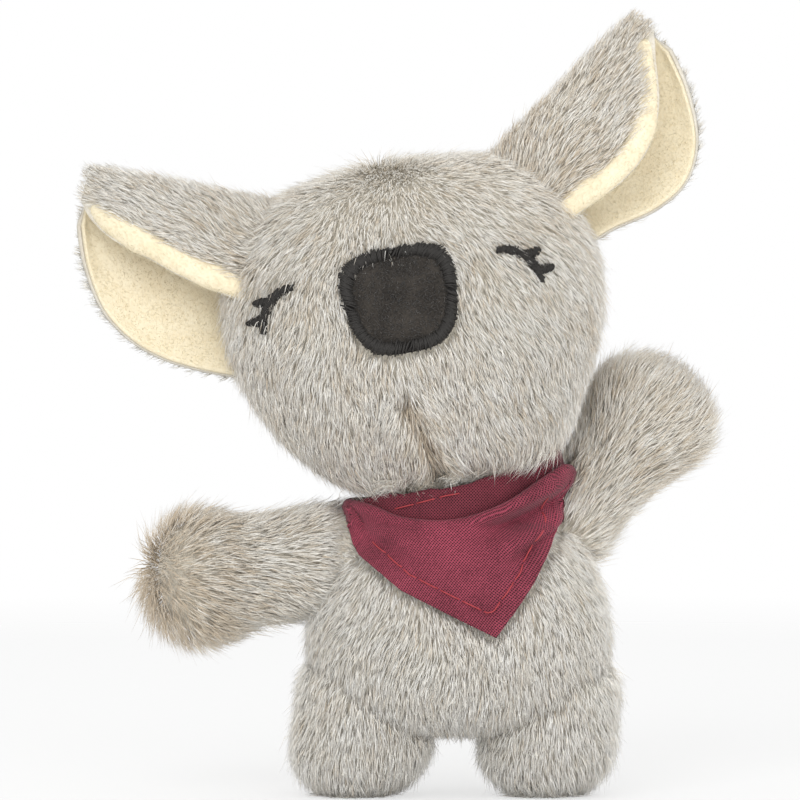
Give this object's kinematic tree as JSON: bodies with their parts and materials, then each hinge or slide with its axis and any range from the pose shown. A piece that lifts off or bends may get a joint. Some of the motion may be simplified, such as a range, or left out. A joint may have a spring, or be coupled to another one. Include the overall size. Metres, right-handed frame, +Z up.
{
  "type": "plush koala",
  "caption": "Standing stuffed koala toy with a jointed head, arms, legs and folding ears, an embroidered face and a cloth neckerchief.",
  "frame": {"origin": "middle of the bounding box, on the floor under the soles", "axes": "+Z up, -Y the way the toy faces, +X toward the toy's own left, the raised arm's side"},
  "size_m": [0.1048, 0.0482, 0.1287],
  "materials": {
    "fur": "grey cut-pile fur fabric",
    "fleece": "cream short-nap fleece",
    "felt": "matte black felt",
    "thread": "black satin stitch",
    "cloth": "burgundy plain weave",
    "fibre": "loose white fibre filling"
  },
  "bodies": {
    "torso": {"torso_cover": "fur", "torso_filling": "fibre", "neckerchief_wrap": "cloth"},
    "neck": {"neck_filling": "fibre"},
    "head": {"head_cover": "fur", "head_filling": "fibre", "nose_patch": "felt", "nose_border": "thread", "eye_left": "thread", "eye_right": "thread"},
    "ear_left": {"ear_left_outer": "fur", "ear_left_lining": "fleece"},
    "ear_right": {"ear_right_outer": "fur", "ear_right_lining": "fleece"},
    "arm_left": {"arm_left_cover": "fur", "arm_left_filling": "fibre"},
    "arm_right": {"arm_right_cover": "fur", "arm_right_filling": "fibre"},
    "leg_left": {"leg_left_cover": "fur", "leg_left_filling": "fibre"},
    "leg_right": {"leg_right_cover": "fur", "leg_right_filling": "fibre"},
    "neckerchief": {"neckerchief_flap": "cloth"}
  },
  "joints": [
    {"name": "head_turn", "type": "hinge", "parent": "torso", "child": "neck", "pos_m": [0.00838, 0.00164, 0.04897], "axis": [0, 0, 1], "range_deg": [-20, 20], "stiffness_Nm_per_rad": 0.04},
    {"name": "head_tilt", "type": "hinge", "parent": "neck", "child": "head", "pos_m": [0.00838, 0.00164, 0.04897], "axis": [0, 1, 0], "range_deg": [-12, 8], "stiffness_Nm_per_rad": 0.06},
    {"name": "ear_left_fold", "type": "hinge", "parent": "head", "child": "ear_left", "pos_m": [0.02313, -0.00085, 0.09635], "axis": [0.7193, 0, -0.6947], "range_deg": [-14, 14], "stiffness_Nm_per_rad": 0.004},
    {"name": "ear_right_fold", "type": "hinge", "parent": "head", "child": "ear_right", "pos_m": [-0.0242, -0.00167, 0.08292], "axis": [-0.2079, 0, -0.9781], "range_deg": [-14, 14], "stiffness_Nm_per_rad": 0.004},
    {"name": "arm_left_swing", "type": "hinge", "parent": "torso", "child": "arm_left", "pos_m": [0.02743, 0.00496, 0.0443], "axis": [0, 1, 0], "range_deg": [0, 60], "stiffness_Nm_per_rad": 0.01},
    {"name": "arm_right_swing", "type": "hinge", "parent": "torso", "child": "arm_right", "pos_m": [-0.0083, 0.00164, 0.03963], "axis": [0, 1, 0], "range_deg": [-10, 18], "stiffness_Nm_per_rad": 0.01},
    {"name": "leg_left_swing", "type": "hinge", "parent": "torso", "child": "leg_left", "pos_m": [0.02482, 0.00164, 0.017], "axis": [1, 0, 0], "range_deg": [-20, 20], "stiffness_Nm_per_rad": 0.15},
    {"name": "leg_right_swing", "type": "hinge", "parent": "torso", "child": "leg_right", "pos_m": [-0.00474, 0.00164, 0.017], "axis": [1, 0, 0], "range_deg": [-20, 20], "stiffness_Nm_per_rad": 0.15},
    {"name": "neckerchief_lift", "type": "hinge", "parent": "torso", "child": "neckerchief", "pos_m": [0.01, -0.01379, 0.04101], "axis": [-1, 0, 0], "range_deg": [0, 60]}
  ]
}
